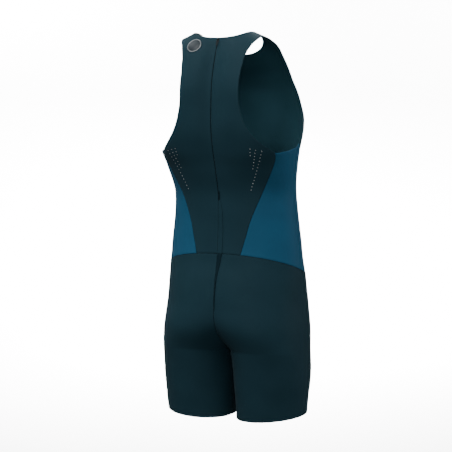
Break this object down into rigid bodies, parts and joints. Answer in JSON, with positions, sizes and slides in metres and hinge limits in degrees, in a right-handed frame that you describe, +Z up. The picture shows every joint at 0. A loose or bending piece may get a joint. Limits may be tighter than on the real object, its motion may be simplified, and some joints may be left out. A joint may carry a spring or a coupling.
{
  "type": "sleeveless triathlon suit",
  "caption": "Sleeveless one-piece triathlon suit in worn form, with a back zip, side panels and mid-thigh legs, hollow with nobody in it.",
  "frame": {"origin": "midway between the crests of the two shoulder straps, where the wearer's shoulders carry the suit", "axes": "+X to the wearer's left, -Y to the front, +Z up"},
  "size_m": [0.334, 0.2435, 0.8559],
  "materials": {
    "dark_fabric": "smooth stretch knit, dark teal navy, satin",
    "side_fabric": "smooth stretch knit, blue, satin",
    "zip_tape": "woven tape with moulded teeth, near black",
    "zip_metal": "dark enamel, half gloss",
    "badge": "thin silver grey patch with a satin sheen, plain"
  },
  "bodies": {
    "suit": {"front": "dark_fabric", "back_left": "dark_fabric", "back_right": "dark_fabric", "side_left": "side_fabric", "side_right": "side_fabric", "shorts_left": "dark_fabric", "shorts_right": "dark_fabric", "zip_tape": "zip_tape", "zip_flap_back": "dark_fabric", "zip_flap_seat": "dark_fabric", "badge": "badge", "zip_slider": "zip_metal"},
    "tab": {"pull_tab": "zip_metal"}
  },
  "joints": [
    {"name": "tab_hinge", "type": "hinge", "parent": "suit", "child": "tab", "pos_m": [0, 0.02695, -0.01728], "axis": [1, 0, 0], "range_deg": [0, 150]}
  ]
}
